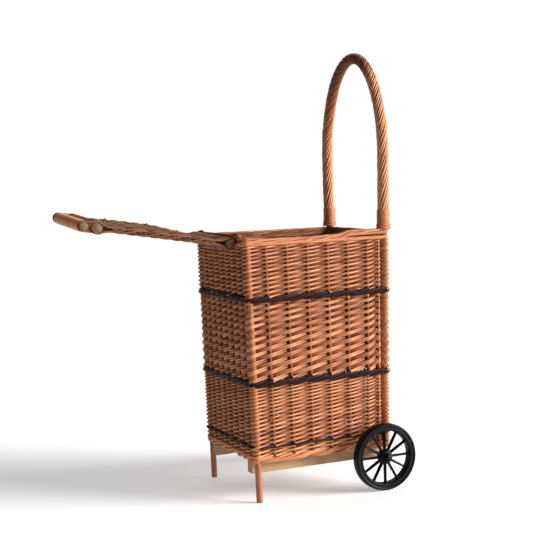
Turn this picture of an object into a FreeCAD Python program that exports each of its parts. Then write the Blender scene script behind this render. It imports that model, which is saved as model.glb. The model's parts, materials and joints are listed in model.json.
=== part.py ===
import FreeCAD, Part
import math
import os
from FreeCAD import Vector

# Wicker log trolley: a woven willow basket on two wheels, with a bow handle over the
# wheel end and a hinged woven lid with a grip. Millimetres, +Z up, +X towards the
# wheels. The origin is on the floor, at the centre of the whole object's box.

# ---- driving dimensions ----
BASE_Z = 87.0            # underside of the basket
RIM_Z = 587.0            # top of the rim border
RIM_HALF_X = 181.5       # half length of the basket at the rim, over the weave
BASE_HALF_X = 170.5      # the same at the base
HALF_Y = 145.0           # half width of the basket, over the weave
WALL = 15.0              # thickness of the woven wall
CORNER_INSET = 11.0      # corner post's centre, in from both outer faces
CORNER_R = 11.0          # rounding of the weave round a corner post

BORDER_BOTTOM_Z = 567.0
UPPER_BAND_Z = 450.0     # middle of each dark band
LOWER_BAND_Z = 264.0
BASE_BAND_Z = 123.0
BAND_TALL = 12.0
BASE_BAND_TALL = 6.0
BAND_PROUD = 1.5
FOOT_BORDER_TOP_Z = 105.0

POST_R = 7.0             # grip-side corner posts, which end as feet
POST_TOP_Z = 586.0
STAKE_BOTTOM_Z = 90.0
STAKE_TOP_Z = 566.5
STAKE_R = 3.5
LONG_PITCH = 47.2        # stake spacing on the long walls
LONG_FIRST = 41.0
LONG_LAST_GAP = 16.0     # last stake, close to the bow's leg
SHORT_STAKES = 7         # evenly spaced on the short walls

BOW_CORE_R = 8.0
BOW_WRAP_R = 13.5
BOW_TOP_Z = 985.0        # centre of the rod at the top of the bow
BOW_ROUND = 211.0        # height of the bow's rounded part
COLLAR_R = 16.5
COLLAR_TALL = 46.0

LID_HALF_Y = 108.5
LID_SLOPE = 9.4          # degrees the open lid rises away from the basket
LID_OPENING = 170.6      # degrees from open to closed, where the lid is level
HINGE_ROD_X = -195.5     # centre of the lid's hinge-side rod when open
HINGE_ROD_Z = 579.0
HINGE_ROD_CLOSED_X = -170.0
LID_CLOSED_Z = 601.0     # height of the rods' centres when the lid is closed
LID_ROD_R = 9.5
GRIP_CORE_R = 9.0
GRIP_R = 13.0
OUTER_ROD_AT = 301.0     # along the lid from the hinge-side rod
GRIP_AT = 331.0
LID_STAKES = 5           # thin cross stakes, evenly spaced between the cross rods
LID_STAKE_R = 3.8
LID_THICK = 17.0
LID_WEAVE_R = 13.0       # weave turned round the cross rods
PIVOT_R = 3.5
LOOP_THICK = 3.2
LOOP_WIDE = 9.0
LOOP_AT = 102.0          # hinge loops, out from the lid's middle

WHEEL_R = 76.0
TYRE_INNER_R = 67.5
WHEEL_RIM_R = 60.0
WHEEL_WIDE = 25.0
WHEEL_X = 134.0
WHEEL_Y = 180.0
HUB_R = 16.0
SPOKES = 12
AXLE_R = 5.0
AXLE_RUN = 0.08          # radial running clearance of a wheel on the axle
AXLE_PAST = 7.0          # axle beyond a wheel's outer face

BASE_THICK = 12.0
BATTEN_WIDE = 24.0
BATTEN_TALL = 26.0
BATTEN_Y = 104.0

GAP = 0.3                # clear space between neighbouring pieces
EPS = 0.4                # cutters run past the faces that they cut by this much

# ---- worked out from the driving dimensions ----
LEAN = (RIM_HALF_X - BASE_HALF_X) / (RIM_Z - BASE_Z)
SLOPE = math.radians(LID_SLOPE)
GRIP_TIP_X = HINGE_ROD_X - GRIP_AT * math.cos(SLOPE) - GRIP_R
OBJECT_MID_X = (GRIP_TIP_X + WHEEL_X + WHEEL_R) / 2
POST_Y = HALF_Y - CORNER_INSET


def half_x(z):
    """Half length of the basket, over the weave, at a height."""
    return BASE_HALF_X + LEAN * (z - BASE_Z)


def post_x(z):
    return half_x(z) - CORNER_INSET


def save(name, *solids):
    """Write one sub-part, moved from the basket's centre line to the object's frame."""
    shape = solids[0] if len(solids) == 1 else Part.makeCompound(list(solids))
    shape = shape.copy()
    shape.translate(Vector(-OBJECT_MID_X, 0, 0))
    for solid in shape.Solids:
        if not solid.isValid() or not solid.isClosed():
            raise ValueError(name + " is not a closed valid solid")
    shape.exportStep("parts/" + name + ".step")
    print(name, len(shape.Solids), round(shape.Volume))


def rod(start, end, radius):
    """A straight round rod between two points."""
    run = end - start
    return Part.makeCylinder(radius, run.Length, start, run)


def box(x0, x1, y0, y1, z0, z1):
    return Part.makeBox(x1 - x0, y1 - y0, z1 - z0, Vector(x0, y0, z0))


def rounded_outline(hx, hy, radius, z):
    """A closed rectangle with round corners, level at a height."""
    cx = hx - radius
    cy = hy - radius
    edges = []
    for quarter in range(4):
        turn = math.pi / 2 * quarter
        sx = 1 if quarter in (0, 3) else -1
        sy = 1 if quarter in (0, 1) else -1
        centre = Vector(sx * cx, sy * cy, z)
        points = []
        for step in (0, 0.5, 1):
            angle = turn + step * math.pi / 2
            points.append(centre + Vector(math.cos(angle), math.sin(angle), 0) * radius)
        edges.append(Part.Arc(*points).toShape())
    lines = []
    for quarter in range(4):
        start = edges[quarter].Vertexes[-1].Point
        end = edges[(quarter + 1) % 4].Vertexes[0].Point
        lines.append(Part.makeLine(start, end))
    ordered = [edge for pair in zip(edges, lines) for edge in pair]
    return Part.Wire(ordered)


def block(z0, z1, inset, radius):
    """The basket's tapering outline between two heights, moved in by an inset."""
    low = rounded_outline(half_x(z0) - inset, HALF_Y - inset, radius, z0)
    high = rounded_outline(half_x(z1) - inset, HALF_Y - inset, radius, z1)
    return Part.makeLoft([low, high], True, True)


def post_holes():
    """Cutters that let the corner posts and the bow's ends through the walls."""
    cutters = []
    low = BASE_Z - EPS
    high = RIM_Z + EPS
    for sy in (-1, 1):
        for sx, radius in ((-1, POST_R), (1, BOW_CORE_R)):
            start = Vector(sx * post_x(low), sy * POST_Y, low)
            end = Vector(sx * post_x(high), sy * POST_Y, high)
            cutters.append(rod(start, end, radius + GAP))
    return cutters


def stake_holes():
    """Cutters that let the stakes through the weave, up to the rim border."""
    low = BASE_Z - EPS
    high = BORDER_BOTTOM_Z + EPS
    radius = STAKE_R + GAP
    return long_stakes(radius, low, high) + short_stakes(radius, low, high)


def long_stakes(radius, z0, z1, sides=(-1, 1)):
    """Stakes of the front and back walls; they fan out a little towards the rim."""
    span = 2 * post_x(BASE_Z)
    along = [LONG_FIRST + LONG_PITCH * index for index in range(6)]
    along.append(span - LONG_LAST_GAP)
    made = []
    for sy in sides:
        y = sy * (HALF_Y - WALL / 2)
        for place in along:
            part = place / span * 2 - 1
            start = Vector(part * post_x(z0), y, z0)
            end = Vector(part * post_x(z1), y, z1)
            made.append(rod(start, end, radius))
    return made


def short_stakes(radius, z0, z1, sides=(-1, 1)):
    """Stakes of the grip-side and wheel-side walls."""
    pitch = 2 * POST_Y / (SHORT_STAKES + 1)
    made = []
    for sx in sides:
        for index in range(SHORT_STAKES):
            y = pitch * (index + 1) - POST_Y
            start = Vector(sx * (half_x(z0) - WALL / 2), y, z0)
            end = Vector(sx * (half_x(z1) - WALL / 2), y, z1)
            made.append(rod(start, end, radius))
    return made


def mitres(z0, z1):
    """Thin slabs that part a ring into four walls at its corners."""
    made = []
    reach = 2 * WALL + CORNER_INSET
    for sx in (-1, 1):
        for sy in (-1, 1):
            slab = box(-reach, reach, -GAP / 2, GAP / 2, z0 - EPS, z1 + EPS)
            slab.rotate(Vector(0, 0, 0), Vector(0, 0, 1), 45 * sx * sy)
            slab.translate(Vector(sx * post_x((z0 + z1) / 2), sy * POST_Y, 0))
            made.append(slab)
    return made


def wall_ring(z0, z1, cutters, proud=0.0):
    """Four wall pieces between two heights, with holes for posts and stakes."""
    ring = block(z0 + GAP / 2, z1 - GAP / 2, -proud, CORNER_R)
    ring = ring.cut(block(z0 - EPS, z1 + EPS, WALL, EPS))
    ring = ring.cut(cutters + mitres(z0, z1))
    if len(ring.Solids) != 4:
        raise ValueError("a ring of wall is not four pieces: " + str(len(ring.Solids)))
    return ring.Solids


def basket_walls():
    """The weave, the dark bands and the rim border, from the bottom up."""
    cutters = post_holes() + stake_holes()
    base_low = BASE_BAND_Z - BASE_BAND_TALL / 2
    base_high = BASE_BAND_Z + BASE_BAND_TALL / 2
    lower_low = LOWER_BAND_Z - BAND_TALL / 2
    lower_high = LOWER_BAND_Z + BAND_TALL / 2
    upper_low = UPPER_BAND_Z - BAND_TALL / 2
    upper_high = UPPER_BAND_Z + BAND_TALL / 2
    save("foot_border", *wall_ring(BASE_Z, FOOT_BORDER_TOP_Z, cutters, BAND_PROUD))
    save("foot_weave", *wall_ring(FOOT_BORDER_TOP_Z, base_low, cutters))
    save("base_band", *wall_ring(base_low, base_high, cutters, BAND_PROUD))
    save("lower_weave", *wall_ring(base_high, lower_low, cutters))
    save("lower_band", *wall_ring(lower_low, lower_high, cutters, BAND_PROUD))
    save("middle_weave", *wall_ring(lower_high, upper_low, cutters))
    save("upper_band", *wall_ring(upper_low, upper_high, cutters, BAND_PROUD))
    save("upper_weave", *wall_ring(upper_high, BORDER_BOTTOM_Z, cutters))
    save("rim_border", *wall_ring(BORDER_BOTTOM_Z, RIM_Z, post_holes() + hinge_reliefs()))


def pivot():
    """Centre of the hinge rod: the lid turns about it from open to closed."""
    opened = Vector(HINGE_ROD_X, 0, HINGE_ROD_Z)
    closed = Vector(HINGE_ROD_CLOSED_X, 0, LID_CLOSED_Z)
    chord = closed - opened
    offset = chord.Length / 2 / math.tan(math.radians(LID_OPENING) / 2)
    side = Vector(chord.z, 0, -chord.x).normalize()
    return (opened + closed) / 2 + side * offset


def hinge_reliefs():
    """The groove for the hinge rod and the pockets in which its loops turn."""
    centre = pivot()
    ends = Vector(0, POST_Y + EPS, 0)
    made = [rod(centre - ends, centre + ends, PIVOT_R + GAP)]
    deep = LID_ROD_R + LOOP_THICK + 1.0
    half = LOOP_WIDE / 2 + 0.6
    for sy in (-1, 1):
        y = sy * LOOP_AT
        made.append(box(centre.x - 20, centre.x + deep, y - half, y + half, RIM_Z - 13.5, RIM_Z + EPS))
    return made


def stakes_and_posts():
    low = STAKE_BOTTOM_Z
    top = STAKE_TOP_Z
    save("front_stakes", *long_stakes(STAKE_R, low, top, (-1,)))
    save("back_stakes", *long_stakes(STAKE_R, low, top, (1,)))
    save("grip_side_stakes", *short_stakes(STAKE_R, low, top, (-1,)))
    save("wheel_side_stakes", *short_stakes(STAKE_R, low, top, (1,)))
    above_floor = box(-2 * RIM_HALF_X, 0, -2 * HALF_Y, 2 * HALF_Y, 0, POST_TOP_Z)
    for name, sy in (("front", -1), ("back", 1)):
        foot = Vector(-post_x(-POST_R), sy * POST_Y, -POST_R)
        head = Vector(-post_x(RIM_Z), sy * POST_Y, RIM_Z)
        post = rod(foot, head, POST_R)
        save("corner_post_" + name, post.common(above_floor))


def bow_path(z0):
    """Centre line of the bow handle, from a height on one leg over to the other."""
    spring = BOW_TOP_Z - BOW_ROUND
    tilt = math.atan(LEAN)
    up = Vector(math.sin(tilt), 0, math.cos(tilt))
    foot = Vector(post_x(z0), 0, z0)
    across = Vector(0, 1, 0)

    def on_bow(y, z):
        return foot + up * ((z - z0) / math.cos(tilt)) + across * y

    centre = on_bow(0, spring)
    top = on_bow(0, BOW_TOP_Z)
    shoulder = on_bow(POST_Y, spring)
    ellipse = Part.Ellipse(top, shoulder, centre)
    arc = ellipse.toShape(-math.pi / 2, math.pi / 2)
    ends = sorted((arc.Vertexes[0].Point, arc.Vertexes[-1].Point), key=lambda p: p.y)
    legs = [Part.makeLine(on_bow(-POST_Y, z0), ends[0]), Part.makeLine(ends[1], on_bow(POST_Y, z0))]
    return Part.Wire(Part.__sortEdges__([legs[0], arc, legs[1]])), up


def bow_tube(z0, radius):
    """A round rod along the bow."""
    path, up = bow_path(z0)
    start = Vector(post_x(z0), -POST_Y, z0)
    ring = Part.Wire(Part.makeCircle(radius, start, up))
    return path.makePipeShell([ring], True, False)


def bow_handle():
    save("bow_core", bow_tube(STAKE_BOTTOM_Z, BOW_CORE_R))
    wrap_from = RIM_Z + GAP
    wrap = bow_tube(wrap_from, BOW_WRAP_R).cut(bow_tube(wrap_from - 5, BOW_CORE_R + GAP / 2))
    level_cut = box(0, 2 * RIM_HALF_X, -2 * HALF_Y, 2 * HALF_Y, wrap_from, BOW_TOP_Z + 100)
    save("bow_wrap", wrap.common(level_cut))
    save("bow_collars", *[bow_collar(sy) for sy in (-1, 1)])


def bow_collar(sy):
    """The binding round the foot of one leg of the bow."""
    low = RIM_Z + GAP
    high = low + COLLAR_TALL
    foot = Vector(post_x(low - COLLAR_R), sy * POST_Y, low - COLLAR_R)
    head = Vector(post_x(high + COLLAR_R), sy * POST_Y, high + COLLAR_R)
    sleeve = rod(foot, head, COLLAR_R).cut(rod(foot, head, BOW_WRAP_R + GAP / 2))
    return sleeve.common(box(0, 2 * RIM_HALF_X, -2 * HALF_Y, 2 * HALF_Y, low, high))


def on_lid(along, y=0.0, above=0.0):
    """A point of the open lid: along it from the hinge-side rod, across it, and above."""
    x = HINGE_ROD_X - along * math.cos(SLOPE) + above * math.sin(SLOPE)
    z = HINGE_ROD_Z + along * math.sin(SLOPE) + above * math.cos(SLOPE)
    return Vector(x, y, z)


def lid_rod(along, half, radius):
    return rod(on_lid(along, -half), on_lid(along, half), radius)


def lid_slab(start, end, half_y, half_thick):
    """A flat slab along the lid."""
    corners = [on_lid(start, -half_y, -half_thick), on_lid(end, -half_y, -half_thick)]
    corners += [on_lid(end, -half_y, half_thick), on_lid(start, -half_y, half_thick)]
    face = Part.Face(Part.makePolygon(corners + [corners[0]]))
    return face.extrude(Vector(0, 2 * half_y, 0))


def lid_parts():
    hinge_side = lid_rod(0, LID_HALF_Y, LID_ROD_R)
    outer = lid_rod(OUTER_ROD_AT, LID_HALF_Y, LID_ROD_R)
    save("lid_hinge_rod", hinge_side)
    save("lid_outer_rod", outer)
    save("lid_stakes", *lid_stakes(LID_STAKE_R, LID_HALF_Y - 2))
    save("lid_weave", lid_weave())
    save("grip_core", lid_rod(GRIP_AT, LID_HALF_Y, GRIP_CORE_R))
    sleeve = lid_rod(GRIP_AT, LOOP_AT - LOOP_WIDE / 2 - 1.0, GRIP_R)
    save("grip_wrap", sleeve.cut(lid_rod(GRIP_AT, LID_HALF_Y, GRIP_CORE_R + GAP / 2)))
    save("hinge_loops", *[hinge_loop(sy * LOOP_AT) for sy in (-1, 1)])
    save("grip_straps", *[grip_strap(sy * LOOP_AT) for sy in (-1, 1)])


def lid_stakes(radius, half):
    pitch = OUTER_ROD_AT / (LID_STAKES + 1)
    return [lid_rod(pitch * (index + 1), half, radius) for index in range(LID_STAKES)]


def lid_weave():
    """The woven panel: a slab that turns round both cross rods."""
    half = LOOP_AT - LOOP_WIDE / 2 - 1.0
    weave = lid_slab(0, OUTER_ROD_AT, half, LID_THICK / 2)
    for along in (0, OUTER_ROD_AT):
        weave = weave.fuse(lid_rod(along, half, LID_WEAVE_R))
    clear = LID_WEAVE_R + LOOP_THICK + LOOP_WIDE
    skirt = lid_slab(clear, OUTER_ROD_AT - clear, LID_HALF_Y - 2.5, LID_THICK / 2)
    weave = weave.fuse(skirt).removeSplitter()
    cutters = [lid_rod(0, LID_HALF_Y + 1, LID_ROD_R + GAP / 2)]
    cutters.append(lid_rod(OUTER_ROD_AT, LID_HALF_Y + 1, LID_ROD_R + GAP / 2))
    cutters += lid_stakes(LID_STAKE_R + GAP / 2, LID_HALF_Y)
    return weave.cut(cutters)


def slot_outline(a, b, ra, rb):
    """A belt shape round two parallel rods, as a face across the Y axis."""
    run = b - a
    heading = math.atan2(run.z, run.x)
    lean = math.acos((ra - rb) / run.Length)

    def at(centre, radius, angle):
        return centre + Vector(math.cos(angle), 0, math.sin(angle)) * radius

    a_left = at(a, ra, heading + lean)
    a_back = at(a, ra, heading + math.pi)
    a_right = at(a, ra, heading - lean)
    b_left = at(b, rb, heading + lean)
    b_front = at(b, rb, heading)
    b_right = at(b, rb, heading - lean)
    edges = [Part.Arc(a_left, a_back, a_right).toShape(), Part.makeLine(a_right, b_right)]
    edges += [Part.Arc(b_right, b_front, b_left).toShape(), Part.makeLine(b_left, a_left)]
    return Part.Face(Part.Wire(edges))


def belt(a, b, ra, rb, thick, y, wide):
    """A flat willow band round two rods."""
    half = Vector(0, wide / 2, 0)
    place = Vector(0, y, 0)
    outer = slot_outline(a, b, ra + thick, rb + thick).extrude(half * 2)
    inner = slot_outline(a, b, ra, rb).extrude(half * 2 + Vector(0, 2, 0))
    inner.translate(Vector(0, -1, 0))
    loop = outer.cut(inner)
    loop.translate(place - half)
    return loop


def hinge_loop(y):
    """A loop that ties the lid's rod to the hinge rod and turns with the lid."""
    clear = 0.08
    return belt(on_lid(0), pivot(), LID_ROD_R + GAP / 2, PIVOT_R + clear, LOOP_THICK, y, LOOP_WIDE)


def grip_strap(y):
    """A band that holds the grip to the lid's outer rod."""
    outer_r = LID_ROD_R + GAP
    grip_r = GRIP_CORE_R + GAP
    return belt(on_lid(OUTER_ROD_AT), on_lid(GRIP_AT), outer_r, grip_r, LOOP_THICK, y, LOOP_WIDE)


def ring(y, wide, outer, inner):
    """A flat ring on the axle line, centred at y."""
    place = Vector(WHEEL_X, y - wide / 2, WHEEL_R)
    disc = Part.makeCylinder(outer, wide, place, Vector(0, 1, 0))
    hole = Part.makeCylinder(inner, wide, place, Vector(0, 1, 0))
    return disc.cut(hole)


def tyre(y):
    """A tyre with rounded shoulders."""
    body = ring(y, WHEEL_WIDE, WHEEL_R, TYRE_INNER_R)
    shoulders = [edge for edge in body.Edges if edge.Curve.TypeId == "Part::GeomCircle"]
    outer = [edge for edge in shoulders if edge.Curve.Radius > WHEEL_R - 1]
    return body.makeFillet(4.0, outer)


def spoke(y):
    """One spoke, wider at the hub than at the rim, pointing up."""
    root = WHEEL_R + HUB_R - 2
    tip = WHEEL_R + WHEEL_RIM_R + 1
    wires = []
    for z, wide, deep in ((root, 6.4, 13.0), (tip, 4.4, 10.0)):
        corners = [(-wide / 2, -deep / 2), (wide / 2, -deep / 2), (wide / 2, deep / 2), (-wide / 2, deep / 2)]
        points = [Vector(WHEEL_X + dx, y + dy, z) for dx, dy in corners]
        wires.append(Part.makePolygon(points + [points[0]]))
    return Part.makeLoft(wires, True, True)


def moulded_wheel(y):
    """Rim, spokes and hub in one moulding."""
    body = ring(y, WHEEL_WIDE - 3, TYRE_INNER_R - GAP / 2, WHEEL_RIM_R)
    hub_hole = AXLE_R + AXLE_RUN
    body = body.fuse(ring(y, WHEEL_WIDE, HUB_R, hub_hole))
    for index in range(SPOKES):
        arm = spoke(y)
        arm.rotate(Vector(WHEEL_X, y, WHEEL_R), Vector(0, 1, 0), 360.0 / SPOKES * index)
        body = body.fuse(arm)
    return body.removeSplitter()


def push_cap(sy):
    """A domed cap pressed on the end of the axle."""
    face = sy * (WHEEL_Y + WHEEL_WIDE / 2 + 0.6)
    deep = AXLE_PAST + 1.4
    start = Vector(WHEEL_X, face, WHEEL_R)
    out = Vector(0, sy, 0)
    cap = Part.makeCylinder(9.5, deep, start, out)
    end = start + out * deep
    outer = [edge for edge in cap.Edges if edge.Curve.TypeId == "Part::GeomCircle"
             and (edge.Curve.Center - end).Length < 0.1]
    cap = cap.makeFillet(4.5, outer)
    return cap.cut(Part.makeCylinder(AXLE_R + GAP / 2, AXLE_PAST + GAP, start, out))


def running_gear():
    end = WHEEL_Y + WHEEL_WIDE / 2 + AXLE_PAST
    start = Vector(WHEEL_X, -end, WHEEL_R)
    axle = Part.makeCylinder(AXLE_R, 2 * end, start, Vector(0, 1, 0))
    save("axle", axle)
    washer_y = WHEEL_Y - WHEEL_WIDE / 2 - 1.6
    for name, sy in (("front", -1), ("back", 1)):
        save("tyre_" + name, tyre(sy * WHEEL_Y))
        save("wheel_" + name, moulded_wheel(sy * WHEEL_Y))
        save("axle_cap_" + name, push_cap(sy))
        save("axle_washer_" + name, ring(sy * washer_y, 2.0, 12.0, AXLE_R + GAP / 2))


def base_parts():
    """The woven base panel inside the foot border, and the battens that carry the axle."""
    panel = block(BASE_Z + GAP, BASE_Z + BASE_THICK, WALL + GAP, 2)
    save("base_panel", panel.cut(post_holes()))
    half = half_x(BASE_Z) - 4
    for name, sy in (("front", -1), ("back", 1)):
        y = sy * BATTEN_Y
        low_y = y - BATTEN_WIDE / 2
        batten = box(-half, half, low_y, low_y + BATTEN_WIDE, BASE_Z - BATTEN_TALL, BASE_Z - GAP)
        batten = batten.makeFillet(2.0, batten.Edges)
        start = Vector(WHEEL_X, y - BATTEN_WIDE, WHEEL_R)
        bore = Part.makeCylinder(AXLE_R + GAP / 2, 2 * BATTEN_WIDE, start, Vector(0, 1, 0))
        save("base_batten_" + name, batten.cut(bore))


def hinge_rod():
    centre = pivot()
    half = Vector(0, POST_Y - POST_R - 1, 0)
    save("hinge_rod", rod(centre - half, centre + half, PIVOT_R))
    print("hinge axis x z", round(centre.x - OBJECT_MID_X, 4), round(centre.z, 4))


def main():
    os.makedirs("parts", exist_ok=True)
    basket_walls()
    stakes_and_posts()
    base_parts()
    bow_handle()
    hinge_rod()
    lid_parts()
    running_gear()
    print("origin is at basket x", round(OBJECT_MID_X, 4))
    print("axle x z", round(WHEEL_X - OBJECT_MID_X, 4), WHEEL_R)


main()
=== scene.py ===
import json
import math
import bpy
import numpy as np
from mathutils import Matrix, Vector


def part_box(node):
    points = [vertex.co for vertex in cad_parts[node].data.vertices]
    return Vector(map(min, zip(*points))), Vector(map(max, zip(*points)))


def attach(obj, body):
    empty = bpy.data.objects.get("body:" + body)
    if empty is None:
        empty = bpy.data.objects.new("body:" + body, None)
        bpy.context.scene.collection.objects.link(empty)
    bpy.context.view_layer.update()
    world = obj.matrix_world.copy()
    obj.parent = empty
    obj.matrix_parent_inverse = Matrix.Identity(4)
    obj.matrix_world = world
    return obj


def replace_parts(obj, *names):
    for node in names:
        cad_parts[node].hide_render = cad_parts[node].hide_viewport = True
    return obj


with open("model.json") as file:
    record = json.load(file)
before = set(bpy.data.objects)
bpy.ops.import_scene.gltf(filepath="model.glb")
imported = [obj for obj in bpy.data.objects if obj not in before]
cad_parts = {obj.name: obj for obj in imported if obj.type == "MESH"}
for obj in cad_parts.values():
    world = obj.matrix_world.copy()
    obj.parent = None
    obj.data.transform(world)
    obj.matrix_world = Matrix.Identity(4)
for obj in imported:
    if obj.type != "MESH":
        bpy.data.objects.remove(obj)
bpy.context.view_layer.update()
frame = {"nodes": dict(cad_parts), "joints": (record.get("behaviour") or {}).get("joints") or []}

# Wicker log trolley. The CAD frame gives every place; this script dresses it in woven
# willow rods, twisted bands, sticks with cut ends, and moulded black wheels. Metres.

mm = 0.001

# ---- driving dimensions that the CAD solids hide ----
WALL = 15 * mm
CORNER_INSET = 11 * mm
POST_R = 7 * mm
BOW_CORE_R = 8 * mm
STAKE_R = 3.3 * mm
SHORT_STAKE_R = 2.5 * mm
PACKING = 1.5 * mm        # willow packed round each corner post under the wraps
LONG_PITCH = 47.2 * mm
LONG_FIRST = 41 * mm
LONG_LAST_GAP = 16 * mm
LONG_EVEN = 6
SHORT_STAKES = 7
BOW_ROUND = 211 * mm
BOW_FULLNESS = 0.03       # how much the legs of the bow belly out, of its half width
STEP = 5.5 * mm           # spacing of the rings that make up a rod
TUCK = 5.0 * mm           # how far a woven section runs under the band below it
TOP_TUCK = 2.0 * mm       # and under the one above it
FILL = 1.13               # thickness of a weaver in its row: over 1 presses the rows together
WEAVER_INSIDE_SHADE = 0.8          # painted shade: how much darker a weaver is painted where it goes in behind a stake than where it lies outside
KINK = 0.2                # share of the way between stakes where a weaver has straightened after its bend

# ---- places read from the frame ----
rim_lo, rim_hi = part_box("rim_border")
upper_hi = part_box("upper_weave")[1]
lower_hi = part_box("lower_weave")[1]
MID_X = (rim_lo.x + rim_hi.x) / 2
HALF_Y = rim_hi.y
RIM_Z = rim_hi.z
BASE_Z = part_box("foot_border")[0].z
POST_Y = HALF_Y - CORNER_INSET
LEAN = (upper_hi.x - lower_hi.x) / (upper_hi.z - lower_hi.z)


def half_x(z):
    """Half length of the basket, over the weave, at a height."""
    return upper_hi.x - MID_X + LEAN * (z - upper_hi.z)


def post_x(z):
    return half_x(z) - CORNER_INSET


def ease(value):
    """Smooth step from 0 to 1."""
    f = min(1.0, max(0.0, value))
    return f * f * (3 - 2 * f)


# ---- mesh building

def curve_through(points, step=STEP, closed=False):
    """A smooth line through points, as an even spread of samples and each one's place in the list."""
    p = np.asarray(points, float)
    if closed:
        p = np.vstack([p[-1], p, p[0], p[1]])
    else:
        p = np.vstack([2 * p[0] - p[1], p, 2 * p[-1] - p[-2]])
    gaps = np.sqrt(np.linalg.norm(np.diff(p, axis=0), axis=1)) + 1e-9
    out = []
    where = []
    for i in range(1, len(p) - 2):
        p0, p1, p2, p3 = p[i - 1:i + 3]
        d0, d1, d2 = gaps[i - 1:i + 2]
        m1 = (p1 - p0) / d0 - (p2 - p0) / (d0 + d1) + (p2 - p1) / d1
        m2 = (p2 - p1) / d1 - (p3 - p1) / (d1 + d2) + (p3 - p2) / d2
        m1, m2 = m1 * d1, m2 * d1
        count = max(2, int(round(np.linalg.norm(p2 - p1) / step)))
        t = (np.arange(count) / count)[:, None]
        h = ((2 * t**3 - 3 * t**2 + 1) * p1 + (t**3 - 2 * t**2 + t) * m1
             + (3 * t**2 - 2 * t**3) * p2 + (t**3 - t**2) * m2)
        out.append(h)
        where.append(i - 1 + t[:, 0])
    if not closed:
        out.append(p[-2:-1])
        where.append(np.array([len(points) - 1.0]))
    return np.vstack(out), np.concatenate(where)


def ring_faces(rings, sides, closed, base=0):
    """Four-sided faces between each ring of points and the next."""
    rows = np.arange(rings if closed else rings - 1)[:, None]
    nxt = (rows + 1) % rings
    k = np.arange(sides)
    m = (k + 1) % sides
    quads = np.stack([rows * sides + k, rows * sides + m, nxt * sides + m, nxt * sides + k], axis=2)
    return (base + quads.reshape(-1, 4)).tolist()


class Rods:
    """Collects round rods into one mesh. Each rod has its own tone and its own grain."""

    def __init__(self, seed):
        self.random = np.random.default_rng(seed)
        self.points = []
        self.faces = []
        self.cut = []
        self.tone = []
        self.grain = []
        self.count = 0

    def add(self, path, radius, sides=7, tone=None, closed=False, squash=1.0):
        """One rod along a path of samples. radius is a number or one for each sample."""
        p = np.asarray(path, float)
        n = len(p)
        radius = np.broadcast_to(np.asarray(radius, float), (n,))
        ahead = np.roll(p, -1, axis=0) - np.roll(p, 1, axis=0)
        if not closed:
            ahead[0] = p[1] - p[0]
            ahead[-1] = p[-1] - p[-2]
        t = ahead / (np.linalg.norm(ahead, axis=1)[:, None] + 1e-12)
        side = np.zeros((n, 3))
        first = np.cross(t[0], (0, 0, 1.0) if abs(t[0][2]) < 0.9 else (1.0, 0, 0))
        side[0] = first / np.linalg.norm(first)
        for i in range(1, n):
            s = side[i - 1] - t[i] * np.dot(side[i - 1], t[i])
            side[i] = s / (np.linalg.norm(s) + 1e-12)
        twist = 0.0
        if closed:
            s = side[-1] - t[0] * np.dot(side[-1], t[0])
            twist = math.atan2(np.dot(np.cross(s, side[0]), t[0]), np.dot(s, side[0]))
        other = np.cross(t, side)
        angle = 2 * np.pi * np.arange(sides) / sides
        turn = (twist * np.arange(n) / n)[:, None] + angle[None, :]
        c = np.cos(turn) * radius[:, None]
        s = np.sin(turn) * radius[:, None] * squash
        ring = p[:, None, :] + side[:, None, :] * c[..., None] + other[:, None, :] * s[..., None]
        base = self.count
        self.points.append(ring.reshape(-1, 3))
        tone = self.random.random() if tone is None else tone
        run = np.concatenate([[0], np.cumsum(np.linalg.norm(np.diff(p, axis=0), axis=1))])
        shift = self.random.random() * 50
        grain = np.stack([np.broadcast_to(run[:, None] + shift, c.shape), c, s], axis=2)
        self.grain.append(grain.reshape(-1, 3))
        tones = np.broadcast_to(np.asarray(tone, float), (n,))
        self.tone.append(np.repeat(tones, sides))
        self.count += n * sides
        quads = ring_faces(n, sides, closed, base)
        self.faces.extend(quads)
        self.cut.extend([0] * len(quads))
        if not closed:
            for row, flip in ((0, True), (n - 1, False)):
                self.points.append(p[row:row + 1])
                self.grain.append(np.array([[run[row] + shift, 0, 0]]))
                self.tone.append(tones[row:row + 1])
                first = base + row * sides
                for j in range(sides):
                    u, v = first + j, first + (j + 1) % sides
                    self.faces.append([v, u, self.count] if flip else [u, v, self.count])
                self.cut.extend([1] * sides)
                self.count += 1

    def build(self, name, body, skin, end=None):
        """Makes the object, and puts it on a body of the frame."""
        mesh = bpy.data.meshes.new(name)
        mesh.from_pydata(np.vstack(self.points).tolist(), [], self.faces)
        mesh.materials.append(skin)
        mesh.materials.append(end or skin)
        mesh.polygons.foreach_set("material_index", self.cut)
        mesh.polygons.foreach_set("use_smooth", [True] * len(self.faces))
        mesh.set_sharp_from_angle(angle=math.radians(72))
        tone = mesh.attributes.new("tone", "FLOAT", "POINT")
        tone.data.foreach_set("value", np.concatenate(self.tone).astype(np.float32))
        grain = mesh.attributes.new("grain", "FLOAT_VECTOR", "POINT")
        grain.data.foreach_set("vector", np.vstack(self.grain).astype(np.float32).ravel())
        mesh.update()
        return place(mesh, name, body)


def place(mesh, name, body):
    """Links a mesh as a piece that rides on a body."""
    piece = bpy.data.objects.new(name, mesh)
    bpy.context.scene.collection.objects.link(piece)
    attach(piece, body)
    return piece


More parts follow.
